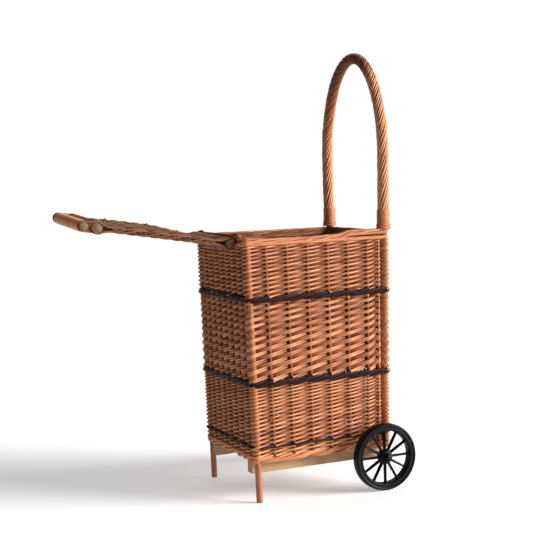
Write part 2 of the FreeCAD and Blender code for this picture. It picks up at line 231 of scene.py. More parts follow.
def lathe(name, outline, centre, steps, material, body):
    """Turns a closed outline of (radius, along Y) points about the Y axis."""
    around = 2 * np.pi * np.arange(steps) / steps
    points = []
    for r, y in outline:
        for a in around:
            points.append((centre.x + r * math.sin(a), centre.y + y, centre.z + r * math.cos(a)))
    faces = ring_faces(len(outline), steps, True)
    mesh = bpy.data.meshes.new(name)
    mesh.from_pydata(points, [], faces)
    mesh.materials.append(material)
    mesh.polygons.foreach_set("use_smooth", [True] * len(faces))
    mesh.set_sharp_from_angle(angle=math.radians(40))
    return place(mesh, name, body)


# ---- materials

class Skin:
    """A material on one Principled shader, with short ways to add its nodes."""

    def __init__(self, name):
        self.material = bpy.data.materials.new(name)
        self.material.use_nodes = True
        self.nodes = self.material.node_tree.nodes
        self.links = self.material.node_tree.links
        self.inputs = self.nodes["Principled BSDF"].inputs

    def attribute(self, name):
        node = self.nodes.new("ShaderNodeAttribute")
        node.attribute_name = name
        return node.outputs

    def place(self):
        """Coordinates in the piece's own metres."""
        return self.nodes.new("ShaderNodeTexCoord").outputs["Object"]

    def noise(self, vector, stretch, detail=3.0, rough=0.55):
        """Noise over stretched coordinates."""
        mapping = self.nodes.new("ShaderNodeMapping")
        mapping.inputs["Scale"].default_value = stretch
        self.links.new(vector, mapping.inputs["Vector"])
        node = self.nodes.new("ShaderNodeTexNoise")
        node.inputs["Scale"].default_value = 1.0
        node.inputs["Detail"].default_value = detail
        node.inputs["Roughness"].default_value = rough
        self.links.new(mapping.outputs["Vector"], node.inputs["Vector"])
        return node.outputs["Fac"]

    def ramp(self, factor, stops):
        node = self.nodes.new("ShaderNodeValToRGB")
        elements = node.color_ramp.elements
        while len(elements) < len(stops):
            elements.new(0.5)
        for element, (where, colour) in zip(elements, stops):
            element.position = where
            element.color = (*colour, 1.0)
        self.links.new(factor, node.inputs["Fac"])
        return node.outputs["Color"]

    def tinted(self, amount, colour, tint):
        """The colour, multiplied by a tint where amount is 1."""
        node = self.nodes.new("ShaderNodeMix")
        node.data_type = "RGBA"
        node.blend_type = "MULTIPLY"
        self.links.new(amount, node.inputs["Factor"])
        self.links.new(colour, node.inputs["A"])
        node.inputs["B"].default_value = (*tint, 1.0)
        return node.outputs["Result"]

    def maths(self, operation, a, b=0.0):
        node = self.nodes.new("ShaderNodeMath")
        node.operation = operation
        for socket, value in zip(node.inputs, (a, b)):
            if isinstance(value, float):
                socket.default_value = value
            else:
                self.links.new(value, socket)
        return node.outputs[0]

    def weighted(self, a, share_a, b, share_b):
        return self.maths("ADD", self.maths("MULTIPLY", a, share_a), self.maths("MULTIPLY", b, share_b))

    def gloss(self, level, share, least):
        """Roughness that follows a level."""
        rough = self.maths("ADD", self.maths("MULTIPLY", level, share), least)
        self.links.new(rough, self.inputs["Roughness"])

    def paint(self, colour):
        self.links.new(colour, self.inputs["Base Color"])

    def bump(self, height, strength, distance):
        node = self.nodes.new("ShaderNodeBump")
        node.inputs["Strength"].default_value = strength
        node.inputs["Distance"].default_value = distance
        self.links.new(height, node.inputs["Height"])
        self.links.new(node.outputs["Normal"], self.inputs["Normal"])


def willow(name, dark, middle, light, rough, coat=0.0, gleam=0.5, relief=0.25):
    """Peeled or boiled willow: each rod its own tone, with lengthwise streaks and small knots."""
    tone_share = 0.62
    streak_share = 0.35
    patch_share = 0.34
    skin = Skin(name)
    grain = skin.attribute("grain")["Vector"]
    # the tone attribute holds each rod's own tone plus painted shade, where weavers go in behind stakes and
    # on the inward turns of twisted rods
    tone = skin.attribute("tone")["Fac"]
    fine = skin.noise(grain, (9.0, 900.0, 900.0))
    broad = skin.noise(grain, (28.0, 120.0, 120.0), 2.0)
    spots = skin.noise(grain, (160.0, 260.0, 260.0), 2.0)
    level = skin.weighted(tone, tone_share, fine, streak_share)
    level = skin.maths("ADD", level, skin.maths("MULTIPLY", broad, patch_share))
    colour = skin.ramp(level, [(0.22, dark), (0.55, middle), (0.95, light)])
    knot = skin.ramp(spots, [(0.0, (0, 0, 0)), (0.68, (0, 0, 0)), (0.76, (1, 1, 1))])
    skin.paint(skin.tinted(knot, colour, (0.55, 0.42, 0.36)))
    skin.gloss(broad, 0.25, rough - 0.12)
    skin.inputs["Coat Weight"].default_value = coat
    skin.inputs["Coat Roughness"].default_value = 0.3
    skin.inputs["Specular IOR Level"].default_value = gleam
    skin.bump(fine, relief, 0.0006)
    return skin.material


def end_grain(name, heart, ring, light):
    """A sawn end: uneven rings round the pith, under a blotchy stain."""
    skin = Skin(name)
    grain = skin.attribute("grain")["Vector"]
    split = skin.nodes.new("ShaderNodeSeparateXYZ")
    skin.links.new(grain, split.inputs["Vector"])
    across = skin.maths("MULTIPLY", split.outputs["Y"], split.outputs["Y"])
    up = skin.maths("MULTIPLY", split.outputs["Z"], split.outputs["Z"])
    radius = skin.maths("SQRT", skin.maths("ADD", across, up))
    wobble = skin.noise(grain, (1.0, 260.0, 260.0))
    turns = skin.weighted(radius, 3200.0, wobble, 11.0)
    wave = skin.maths("ADD", skin.maths("SINE", turns), 1.0)
    rings = skin.maths("MULTIPLY", wave, 0.11)
    blotch = skin.noise(grain, (1.0, 420.0, 420.0))
    level = skin.maths("ADD", rings, skin.maths("MULTIPLY", blotch, 0.85))
    skin.paint(skin.ramp(level, [(0.1, heart), (0.5, ring), (0.95, light)]))
    skin.inputs["Roughness"].default_value = 0.8
    skin.bump(rings, 0.4, 0.0004)
    return skin.material


def plastic(name, base, shine, rough):
    """Moulded black plastic with a fine leathery texture and pale scuffs."""
    skin = Skin(name)
    where = skin.place()
    fine = skin.noise(where, (900.0, 900.0, 900.0), 4.0)
    broad = skin.noise(where, (35.0, 35.0, 35.0), 4.0, 0.65)
    skin.paint(skin.ramp(broad, [(0.3, base), (0.75, shine)]))
    skin.gloss(broad, 0.3, rough - 0.15)
    skin.inputs["Specular IOR Level"].default_value = 0.13
    skin.bump(fine, 0.15, 0.0004)
    return skin.material


def steel(name):
    """Bright drawn steel, with fine lines round the rod."""
    skin = Skin(name)
    lines = skin.noise(skin.place(), (60.0, 2500.0, 60.0))
    skin.paint(skin.ramp(lines, [(0.2, (0.42, 0.42, 0.43)), (0.8, (0.68, 0.68, 0.69))]))
    skin.inputs["Metallic"].default_value = 1.0
    skin.inputs["Roughness"].default_value = 0.32
    skin.bump(lines, 0.2, 0.0002)
    return skin.material


def board(name):
    """Planed softwood with grain along X and a few darker growth lines."""
    skin = Skin(name)
    where = skin.place()
    figure = skin.noise(where, (4.0, 90.0, 90.0))
    fine = skin.noise(where, (25.0, 1200.0, 1200.0))
    level = skin.weighted(figure, 0.75, fine, 0.3)
    stops = [(0.3, (0.24, 0.12, 0.055)), (0.52, (0.40, 0.24, 0.12)), (0.8, (0.54, 0.36, 0.20))]
    skin.paint(skin.ramp(level, stops))
    skin.inputs["Roughness"].default_value = 0.62
    skin.bump(fine, 0.3, 0.0005)
    return skin.material


WILLOW = willow("willow_skin", (0.075, 0.017, 0.004), (0.36, 0.108, 0.031), (0.64, 0.255, 0.108),
                rough=0.44, coat=0.08, gleam=0.4)
LID_WILLOW = willow("lid_willow_skin", (0.036, 0.010, 0.003), (0.098, 0.031, 0.0095), (0.26, 0.098, 0.036),
                    rough=0.46, coat=0.03, gleam=0.26)
BOW_WILLOW = willow("bow_willow_skin", (0.055, 0.015, 0.004), (0.50, 0.170, 0.058), (0.80, 0.37, 0.18),
                    rough=0.44, coat=0.1, gleam=0.45, relief=0.1)
GRIP_WILLOW = willow("grip_willow_skin", (0.36, 0.115, 0.042), (0.70, 0.27, 0.115), (0.86, 0.41, 0.205),
                     rough=0.5, coat=0.06, gleam=0.35)
DARK_WILLOW = willow("dark_willow_skin", (0.004, 0.0016, 0.0018), (0.013, 0.0042, 0.0048),
                     (0.042, 0.012, 0.0125), rough=0.5, gleam=0.14)
STAKE = willow("stake_skin", (0.10, 0.026, 0.007), (0.33, 0.100, 0.030), (0.52, 0.195, 0.078),
               rough=0.44, coat=0.08, gleam=0.4)
TIE = willow("tie_skin", (0.016, 0.006, 0.003), (0.050, 0.017, 0.008), (0.12, 0.042, 0.018),
             rough=0.5, gleam=0.25)
PEELED = willow("peeled_skin", (0.12, 0.055, 0.024), (0.25, 0.14, 0.07), (0.40, 0.26, 0.15),
                rough=0.55, coat=0.1)
PALE_END = end_grain("pale_end", (0.26, 0.11, 0.045), (0.46, 0.26, 0.13), (0.66, 0.46, 0.28))
SAWN_END = end_grain("sawn_end", (0.045, 0.028, 0.016), (0.15, 0.098, 0.056), (0.29, 0.21, 0.13))
BLACK = plastic("moulded_black", (0.0012, 0.0012, 0.0015), (0.004, 0.004, 0.005), 0.42)
TYRE = plastic("tyre_black", (0.0018, 0.0018, 0.0023), (0.006, 0.0064, 0.008), 0.46)
STEEL = steel("axle_steel")
BOARD = board("batten_board")


# ---- the woven walls

class Station:
    """A post or a stake that a weaver passes, in front of or behind."""

    def __init__(self, across, side_y, before, after, radius, post=False, short=None):
        self.across = across
        self.side_y = side_y
        self.before = np.array(before, float)
        self.after = np.array(after, float)
        self.radius = radius
        self.post = post
        self.short = short

    def spot(self, z):
        """Centre of the stake at a height."""
        if self.short is not None:
            x = self.before[0] * (half_x(z) - WALL / 2)
            return np.array([MID_X + x, self.short, z])
        x = self.across * post_x(z)
        y = self.side_y * (POST_Y if self.post else HALF_Y - WALL / 2)
        return np.array([MID_X + x, y, z])


def make_stations():
    """All posts and stakes, in the order that a weaver meets them, from the front left corner."""
    span = 2 * post_x(BASE_Z)
    along = [LONG_FIRST + LONG_PITCH * i for i in range(LONG_EVEN)] + [span - LONG_LAST_GAP]
    parts = [a / span * 2 - 1 for a in along]
    pitch = 2 * POST_Y / (SHORT_STAKES + 1)
    shorts = [pitch * (i + 1) - POST_Y for i in range(SHORT_STAKES)]
    left, front, right, back = (-1, 0), (0, -1), (1, 0), (0, 1)
    found = [Station(-1, -1, left, front, POST_R, True)]
    found += [Station(p, -1, front, front, STAKE_R) for p in parts]
    found.append(Station(1, -1, front, right, BOW_CORE_R, True))
    found += [Station(0, 0, right, right, SHORT_STAKE_R, short=y) for y in shorts]
    found.append(Station(1, 1, right, back, BOW_CORE_R, True))
    found += [Station(p, 1, back, back, STAKE_R) for p in reversed(parts)]
    found.append(Station(-1, 1, back, left, POST_R, True))
    found += [Station(0, 0, left, left, SHORT_STAKE_R, short=y) for y in reversed(shorts)]
    return found


STATIONS = make_stations()


def row_heights(z0, z1, first, last):
    """Heights and spacings of rows that get closer as the rods thin upwards."""
    rows = int(round((z1 - z0) / ((first + last) / 2)))
    pitch = np.linspace(first, last, rows)
    pitch *= (z1 - z0) / pitch.sum()
    height = z0 + np.cumsum(pitch) - pitch / 2
    return height, pitch


def weave_section(rods, z0, z1, first, last, pair=1):
    """French randing: every weaver starts one stake further on, and climbs a row at each stake."""
    slack_spread = 0.12 * mm
    height_spread = 0.16 * mm
    reach_spread = 0.15 * mm
    heights, pitches = row_heights(z0, z1, first, last)
    rnd = rods.random
    for start in range(len(STATIONS)):
        tone = 0.2 + 0.6 * rnd.random()
        for strand in range(pair):
            knots = []
            came = None
            slack = rnd.normal(0, slack_spread)
            for m, (z, pitch) in enumerate(zip(heights, pitches)):
                station = STATIONS[(start + m) % len(STATIONS)]
                radius = pitch / (2 * pair) * FILL
                lift = (strand - (pair - 1) / 2) * pitch / pair
                level = z + lift + rnd.normal(0, height_spread)
                reach = station.radius + radius * 0.92 + slack + rnd.normal(0, reach_spread)
                outside = m % 2 == 0
                stops = passing(station, level, reach, outside, pitch)
                if came is not None:
                    for f in (KINK, 1 - KINK):
                        knots.append((came + (stops[0] - came) * f, radius, f if outside else 1 - f))
                knots += [(point, radius, float(outside)) for point in stops]
                came = stops[-1]
            points, radii, show = zip(*knots)
            line, where = curve_through(points)
            thick = np.interp(where, np.arange(len(radii)), radii)
            thick = thick * (1 + 0.05 * np.sin(where * 1.7 + start))
            shown = np.interp(where, np.arange(len(show)), show)
            # painted shade: the weaver's tone is lowered where it goes in behind a stake and raised where it
            # lies outside
            tone_with_shade = tone + rnd.normal(0, 0.08) + WEAVER_INSIDE_SHADE * (shown - 0.6)
            rods.add(line, thick, 7, np.clip(tone_with_shade, 0, 1))


def passing(station, z, reach, outside, pitch):
    """Points of a weaver that passes one station."""
    centre = station.spot(z)
    flat = station.before + station.after
    if not station.post:
        return [centre + np.append(station.before * (reach if outside else -reach), 0)]
    if not outside:
        return [centre + np.append(flat / np.linalg.norm(flat) * -reach, 0)]
    points = []
    for part in (0.1, 0.5, 0.9):
        a = part * math.pi / 2
        n = station.before * math.cos(a) + station.after * math.sin(a)
        points.append(centre + np.append(n * reach, (part - 0.5) * pitch * 0.4))
    return points


def ring_samples():
    """Samples round the basket: place along the walls, -1 to 1 each way, and outward direction."""
    corners = ((-1, -1), (1, -1), (1, 1), (-1, 1))
    samples = []
    arc = 5
    for quarter, (sx, sy) in enumerate(corners):
        ex, ey = corners[(quarter + 1) % 4]
        start = math.pi + quarter * math.pi / 2
        for k in range(arc):
            a = start + math.pi / 2 * k / arc
            samples.append((sx, sy, math.cos(a), math.sin(a)))
        length = 2 * (post_x(RIM_Z) if quarter % 2 == 0 else POST_Y)
        count = int(length / STEP)
        a = start + math.pi / 2
        for k in range(count):
            f = k / count
            samples.append((sx + (ex - sx) * f, sy + (ey - sy) * f, math.cos(a), math.sin(a)))
    return samples


def squarer(wave):
    """Fills out a round section towards a square one."""
    return math.copysign(abs(wave) ** 0.65, wave)


def rope_ring(rods, z, strands, waves, radius, depth, tall, inset, lift=None, tone=None, wander=0.0):
    """Rods twisted round each other along the wall, as a wale or a border."""
    samples = ring_samples()
    total = len(samples)
    for strand in range(strands):
        points = []
        thick = []
        shade = []
        drift = rods.random.random() * 6
        own = 0.3 + 0.55 * rods.random.random() if tone is None else tone
        for i, (ux, uy, nx, ny) in enumerate(samples):
            phase = 2 * math.pi * (waves * i / total + strand / strands)
            phase += wander * math.sin(2 * math.pi * i / total * 5 + drift)
            out = CORNER_INSET - inset + depth * squarer(math.cos(phase))
            height = z + tall * squarer(math.sin(phase)) + (lift(ux, uy) if lift else 0)
            x = MID_X + ux * post_x(height) + nx * out
            y = uy * POST_Y + ny * out
            points.append((x, y, height))
            thick.append(radius * (1 + 0.06 * math.sin(i * 0.11 + drift)))
            # painted shade: each strand is painted darker where its twist carries it to the inner side of
            # the wall, paler where it comes outside
            shade.append(own + 0.45 * (math.cos(phase) - 0.35))
        rods.add(points, np.array(thick), 8, np.clip(shade, 0, 1), closed=True)


def butts(rods, z, places):
    """Thick ends of weavers, cut on the slant and left standing out beside a stake of the front wall."""
    for place_at in places:
        centre = STATIONS[place_at].spot(z)
        outward = np.array([0.25, -1.0, -0.10])
        start = centre + np.array([-6 * mm, -2 * mm, 0])
        path = [start + outward * mm * f for f in (0, 3, 6, 8.6, 9)]
        rods.add(path, [2.6 * mm] * 4 + [2.2 * mm], 12, 0.9)


def build_walls():
    """The three woven sections, the strip under the base band, and the cut butts of weavers standing out
    from them.
    """
    for name, node, first, last, pair, cut_at in (
        ("upper_wall", "upper_weave", 5.2 * mm, 3.7 * mm, 1, ()),
        ("middle_wall", "middle_weave", 9.6 * mm, 5.8 * mm, 2, (5, 6, 7)),
        ("lower_wall", "lower_weave", 4.9 * mm, 3.4 * mm, 1, (7,)),
        ("foot_wall", "foot_weave", 4.2 * mm, 4.0 * mm, 1, ()),
    ):
        lo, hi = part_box(node)
        rods = Rods(len(name) * 7 + int(first * 1e6))
        weave_section(rods, lo.z - TUCK, hi.z + TOP_TUCK, first, last, pair)
        butts(rods, hi.z - 1.5 * mm, cut_at)
        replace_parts(rods.build(name, "basket", WILLOW, PALE_END), node)


def build_stakes():
    """Stakes of the walls, and the packing round the corner posts."""
    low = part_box("front_stakes")[0].z
    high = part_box("front_stakes")[1].z
    rods = Rods(5)
    for station in STATIONS:
        if station.post:
            packed = [station.spot(BASE_Z + 6 * mm), station.spot(RIM_Z - 14 * mm)]
            rods.add(packed, station.radius + PACKING, 16, 0.3)
            continue
        count = 40
        points = []
        bend = rods.random.normal(0, 0.4 * mm, 2)
        taper = np.linspace(1.05, 0.92, count + 1)
        for i in range(count + 1):
            f = i / count
            p = station.spot(low + (high - low) * f)
            swing = math.sin(math.pi * f)
            points.append(p + np.array([bend[0] * swing, bend[1] * swing, 0]))
        rods.add(points, station.radius * taper, 9, 0.15 + 0.3 * rods.random.random())
    stakes = rods.build("wall_stakes", "basket", STAKE, PALE_END)
    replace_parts(stakes, "front_stakes", "back_stakes", "grip_side_stakes", "wheel_side_stakes")


def stick(rods, start, end, radius, seed, bend=0.4 * mm, sides=22, rings=30, bevel=0.7 * mm, tone=None):
    """A natural stick: slightly bent and uneven, its cut ends softened."""
    rnd = np.random.default_rng(seed)
    start = np.asarray(start, float)
    end = np.asarray(end, float)
    length = np.linalg.norm(end - start)
    way = (end - start) / length
    side = np.cross(way, (0.3, 0.5, 0.8))
    side /= np.linalg.norm(side)
    f = np.concatenate([[0, bevel / length], np.linspace(0.02, 0.98, rings), [1 - bevel / length, 1]])
    wave = bend * np.sin(np.pi * f) + 0.3 * bend * np.sin(f * 9 + rnd.random() * 6)
    points = start + (end - start) * f[:, None] + side * wave[:, None]
    thick = radius * (1 + 0.015 * np.sin(f * 23 + rnd.random() * 6) + 0.01 * rnd.normal(0, 1, len(f)))
    thick = np.minimum(thick, radius * 1.02)
    thick[0] = thick[-1] = radius - bevel
    rods.add(points, thick, sides, rnd.random() if tone is None else tone)


def build_posts():
    """The two left posts, which stand on the floor as feet."""
    for name, sy in (("front", -1), ("back", 1)):
        node = "corner_post_" + name
        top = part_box(node)[1].z
        rods = Rods(11)
        foot = (MID_X - post_x(0), sy * POST_Y, 0)
        head = (MID_X - post_x(top), sy * POST_Y, top)
        stick(rods, foot, head, POST_R, 3 + sy, bend=0.0, tone=0.4)
        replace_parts(rods.build(node + "_rod", "basket", STAKE, SAWN_END), node)


def rim_lift(ux, uy):
    """The border dips along the front and steps up beside the bow."""
    step_up = 5.0 * mm
    sag = -4.5 * mm
    sag_middle = -0.3
    sag_half = 0.75
    step = ease((ux - 0.28) / 0.22)
    front = min(1.0, max(0.0, (-uy - 0.88) / 0.12))
    off = ux - sag_middle
    dip = sag * (1 - (off / sag_half) ** 2) if abs(off) < sag_half else 0.0
    return front * (step * step_up + dip * (1 - step))


def core_ring(rods, z, radius, inset, lift=None, tone=0.3):
    """One plain ring inside a rope, so that no light shows through it."""
    rope_ring(rods, z, 1, 0, radius, 0, 0, inset, lift, tone)


def build_bands():
    """The dark twisted bands, and the thick border round the foot."""
    twists = {
        "wale": (5, 11, 2.8 * mm, 4.6 * mm, 4.9 * mm, WALL / 2 - 3.0 * mm),
        "thin": (3, 11, 2.1 * mm, 5.4 * mm, 1.6 * mm, WALL / 2 - 2.4 * mm),
        "foot": (5, 8, 3.1 * mm, 5.6 * mm, 5.8 * mm, WALL / 2),
    }
    for name, node, seed, twist in (("upper_wale", "upper_band", 21, "wale"),
                                    ("lower_wale", "lower_band", 21, "wale"),
                                    ("base_wale", "base_band", 22, "thin"),
                                    ("foot_rope", "foot_border", 23, "foot")):
        lo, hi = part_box(node)
        z = (lo.z + hi.z) / 2
        rods = Rods(seed)
        rope_ring(rods, z, *twists[twist], wander=0.4)
        if twist == "wale":
            core_ring(rods, z, 5.2 * mm, WALL / 2 - 2.0 * mm, tone=0.1)
        if twist == "foot":
            core_ring(rods, z, 5.0 * mm, WALL / 2)
            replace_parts(rods.build(name, "basket", WILLOW, PALE_END), node)
        else:
            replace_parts(rods.build(name, "basket", DARK_WILLOW, SAWN_END), node)


def build_rim():
    """The rolled border: rods laid over each other round the rim, with an under-row."""
    rods = Rods(31)
    rope_ring(rods, RIM_Z - 8.0 * mm, 8, 5, 2.5 * mm, 5.2 * mm, 4.8 * mm, WALL / 2, rim_lift, wander=0.35)
    rope_ring(rods, RIM_Z - 16.5 * mm, 6, 6, 2.3 * mm, 5.4 * mm, 2.4 * mm, WALL / 2, wander=0.3)
    core_ring(rods, RIM_Z - 9.0 * mm, 4.6 * mm, WALL / 2, rim_lift)
    core_ring(rods, RIM_Z - 17.0 * mm, 4.6 * mm, WALL / 2)
    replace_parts(rods.build("rim_rope", "basket", WILLOW, PALE_END), "rim_border")


# ---- the bow handle

def bow_x(z):
    """The bow leans with the wall up to the rim, and stands nearly upright above it."""
    return post_x(min(z, RIM_Z)) + 0.35 * LEAN * max(0.0, z - RIM_Z)


def bow_line():
    """Samples up one leg, over the top and down the other."""
    lo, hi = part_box("bow_core")
    top = hi.z - BOW_CORE_R
    low = lo.z + 1 * mm
    spring = top - BOW_ROUND
    points = []
    legs = int((spring - low) / (4 * mm))
    for i in range(legs):
        points.append((-POST_Y, low + (spring - low) * i / legs))
    turns = 150
    for i in range(turns + 1):
        a = math.pi * i / turns
        points.append((-POST_Y * math.cos(a), spring + BOW_ROUND * math.sin(a)))
    for i in range(1, legs + 1):
        points.append((POST_Y, spring - (spring - low) * i / legs))
    line = []
    for y, z in points:
        up = min(1.0, max(0.0, (z - RIM_Z) / (top - RIM_Z)))
        y *= 1 + BOW_FULLNESS * math.sin(math.pi * min(1.0, up * 1.25)) ** 2
        line.append((MID_X + bow_x(z), y, z))
    return np.array(line)


def build_bow():
    """The rod of the bow, and twelve rods twisted about it from the rim upwards."""
    path = bow_line()
    core = Rods(41)
    core.add(path[::3], BOW_CORE_R, 14, 0.15)
    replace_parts(core.build("bow_rod", "basket", STAKE, SAWN_END), "bow_core")
    path = path[path[:, 2] > RIM_Z + 2 * mm]
    even, _ = curve_through(path, 2.5 * mm)
    ahead = np.gradient(even, axis=0)
    ahead /= np.linalg.norm(ahead, axis=1)[:, None]
    across = np.array([1.0, 0, 0])
    across = across - ahead * (ahead @ across)[:, None]
    across /= np.linalg.norm(across, axis=1)[:, None]
    other = np.cross(ahead, across)
    run = np.concatenate([[0], np.cumsum(np.linalg.norm(np.diff(even, axis=0), axis=1))])
    lay = np.radians(np.interp(even[:, 2] - RIM_Z, (0, 190 * mm, 390 * mm), (12, 20, 40)))
    lo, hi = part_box("bow_wrap")
    outside = (hi.y - lo.y) / 2 - POST_Y
    strands = 12
    thickest = math.pi * outside / (strands + math.pi)
    sweep = outside - thickest
    angle = np.concatenate([[0], np.cumsum(np.tan(lay[:-1]) / sweep * np.diff(run))])
    up = even[:, 2] - RIM_Z
    # painted shade: the twisted strands are painted darker towards the top of the bow, from lower down on
    # the far leg than on the near one
    near_leg = even[:, 1] < 0
    near_leg_shade = np.clip((up - 330 * mm) / (50 * mm), 0, 1)
    far_leg_shade = np.clip((up - 180 * mm) / (190 * mm), 0, 1)
    bow_shade = np.where(near_leg, near_leg_shade, far_leg_shade)
    slack = np.exp(-((up - 285 * mm) / (55 * mm)) ** 2) * near_leg
    rods = Rods(42)
    for strand in range(strands):
        turn = angle + 2 * math.pi * strand / strands + 0.05 * np.sin(run * 17 + strand * 2.4)
        ride = sweep + rods.random.normal(0, 0.2 * mm)
        line = even + across * (np.cos(turn) * ride)[:, None] + other * (np.sin(turn) * ride)[:, None]
        thick = math.pi * sweep * np.cos(lay) / strands * (1 - 0.3 * slack)
        thick = thick * (1 + 0.03 * np.sin(run * 13 + strand * 1.9))
        tone = np.clip(0.7 + 0.3 * rods.random.random() - 0.95 * bow_shade, 0, 1)
        rods.add(line, np.minimum(thick, thickest), 8, tone)
    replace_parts(rods.build("bow_twist", "basket", BOW_WILLOW, PALE_END), "bow_wrap")


def build_collars():
    """Thin cane wound round the foot of each leg, wider at the rim."""
    lo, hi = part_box("bow_collars")
    rods = Rods(51)
    wide = 16.0 * mm
    narrow = 14.4 * mm
    cane = 1.3 * mm
    for sy in (-1, 1):
        points = []
        tall = hi.z - lo.z - 2 * cane
        turns = int(tall / (2.05 * cane))
        per = 26
        for i in range(turns * per + 1):
            f = i / (turns * per)
            a = 2 * math.pi * i / per
            z = lo.z + cane + tall * f
            r = narrow + (wide - narrow) * max(0.0, 1 - f * 1.4) ** 1.3 - cane
            r = max(r, 13.6 * mm)
            points.append((MID_X + bow_x(z) + r * math.cos(a), sy * POST_Y + r * math.sin(a), z))
        rods.add(points, cane, 6, 0.6)
        for row, z in enumerate((lo.z + 3.2 * mm, lo.z + 9.6 * mm)):
            for strand in range(2):
                loop = []
                steps = 72
                for i in range(steps):
                    a = 2 * math.pi * i / steps
                    swell = math.cos(a * 9 + strand * math.pi)
                    r = wide - 1.1 * mm + 0.8 * mm * swell - row * 0.3 * mm
                    h = z + 1.2 * mm * math.sin(a * 9 + strand * math.pi)
                    loop.append((MID_X + bow_x(z) + r * math.cos(a), sy * POST_Y + r * math.sin(a), h))
                rods.add(loop, 1.4 * mm, 7, 0.5, closed=True)
    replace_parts(rods.build("bow_bindings", "basket", BOW_WILLOW, PALE_END), "bow_collars")


# ---- the lid

def centre_of(node):
    lo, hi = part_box(node)
    return np.array((lo + hi) / 2)


INNER = centre_of("lid_hinge_rod")
OUTER = centre_of("lid_outer_rod")
GRIP = centre_of("grip_core")
LID_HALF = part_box("lid_hinge_rod")[1].y
LID_LENGTH = np.linalg.norm(OUTER - INNER)
ALONG = (OUTER - INNER) / LID_LENGTH
ABOVE = np.cross((0, 1.0, 0), ALONG)
ABOVE = ABOVE if ABOVE[2] > 0 else -ABOVE
LID_ROD_R = 9.2 * mm
LID_STAKE_R = 2.7 * mm
LID_STAKES = 5
STRAND_R = 2.25 * mm
WIND_R = LID_ROD_R + 0.8 * STRAND_R
NEAR_DROP = 7 * mm        # the woven lid is a little askew: its front edge hangs lower
FAR_LIFT = 10.0 * mm      # and its back edge bows up, most in the middle of the lid
GRIP_SHARE = 0.62         # share of that lift left at the grip
STICK_ENDS = 13 * mm      # length at each end of a cross rod that is left unwound


def askew(point):
    """Moves a point of the flat lid to where the slightly twisted lid has it."""
    point = np.asarray(point, float)
    side = (point[1] + LID_HALF) / (2 * LID_HALF)
    out = np.dot(point - INNER, ALONG) / np.linalg.norm(GRIP - INNER)
    rise = ease(out / 0.4) * (1 - (1 - GRIP_SHARE) * ease((out - 0.55) / 0.4))
    lift = FAR_LIFT * side * rise - NEAR_DROP * (1 - side)
    return point + ABOVE * lift


def on_lid(centre, y, above=0.0, along=0.0):
    return askew(centre + np.array([0, y, 0]) + ABOVE * above + ALONG * along)


def ring_round(centre, y, radius, steps, lay=0.0):
    """Points round a rod of the lid. lay leans the ring along the rod."""
    ring = []
    for i in range(steps):
        a = 2 * math.pi * i / steps
        ring.append(on_lid(centre, y + lay * math.sin(a), radius * math.sin(a), radius * math.cos(a)))
    return ring


def build_lid_sticks():
    """The three cross rods, the thin stakes between them, and three stubs cut short on the far edge."""
    for name, node, centre, radius, seed, grain_seed in (
        ("lid_inner_stick", "lid_hinge_rod", INNER, LID_ROD_R, 1, 61),
        ("lid_outer_stick", "lid_outer_rod", OUTER, LID_ROD_R, 2, 62),
        ("grip_stick", "grip_core", GRIP, 8.9 * mm, 4, 63),
    ):
        rods = Rods(grain_seed)
        stick(rods, on_lid(centre, -LID_HALF), on_lid(centre, LID_HALF), radius, seed, bend=0.0)
        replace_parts(rods.build(name, "lid", PEELED, SAWN_END), node)
    rods = Rods(64)
    for i in range(LID_STAKES):
        middle = INNER + (OUTER - INNER) * (i + 1) / (LID_STAKES + 1)
        reach = LID_HALF - 9 * mm
        ends = on_lid(middle, -reach), on_lid(middle, reach)
        stick(rods, *ends, LID_STAKE_R, 20 + i, bend=0.5 * mm, sides=10)
    for part in (0.16, 0.41, 0.74):
        knot = INNER + (OUTER - INNER) * part
        stub = [on_lid(knot, LID_HALF - 15 * mm, 3 * mm, 4 * mm), on_lid(knot, LID_HALF - 8 * mm, 5.6 * mm),
                on_lid(knot, LID_HALF - 4 * mm, 7.2 * mm)]
        line, _ = curve_through(stub, 2 * mm)
        rods.add(line, 2.5 * mm, 9, 0.8)
    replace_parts(rods.build("lid_cross_stakes", "lid", LID_WILLOW, PALE_END), "lid_stakes")


def lid_strand(rods, y):
    """One willow loop: out over the stakes, round the outer rod, back, and round the hinge-side rod."""
    gap = 2 * STRAND_R * 1.02
    reach = LID_ROD_R + STRAND_R
    points = []
    for way, first, last, side in ((0, INNER, OUTER, 1), (1, OUTER, INNER, -1)):
        strand_y = y + gap * (way - 0.5)
        points.append(on_lid(first, strand_y, reach * side))
        for i in range(LID_STAKES):
            k = i + 1 if way == 0 else LID_STAKES - i
            up = side * (-1) ** (i + 1) * (LID_STAKE_R + STRAND_R * 0.95)
            shift = rods.random.normal(0, 0.3 * mm)
            points.append(on_lid(INNER, strand_y + shift, up, LID_LENGTH * k / (LID_STAKES + 1)))
        points.append(on_lid(last, strand_y, reach * side * (-1) ** (LID_STAKES + 1)))
        points.append(on_lid(last, y, 0, side * reach))
    return points


def edge_plait(rods, sy, half):
    """Four strands crossing each other along one edge of the lid."""
    count = 8 * LID_STAKES
    for strand in range(4):
        points = []
        for i in range(count + 1):
            f = 0.11 + 0.78 * i / count
            phase = math.pi * f * (LID_STAKES + 1) + strand * math.pi / 2
            edge = sy * (half + 0.7 * STRAND_R * math.sin(phase))
            points.append(on_lid(INNER, edge, 5.0 * mm * math.cos(phase), LID_LENGTH * f))
        line, _ = curve_through(points, 4.5 * mm)
        rods.add(line, STRAND_R, 8)


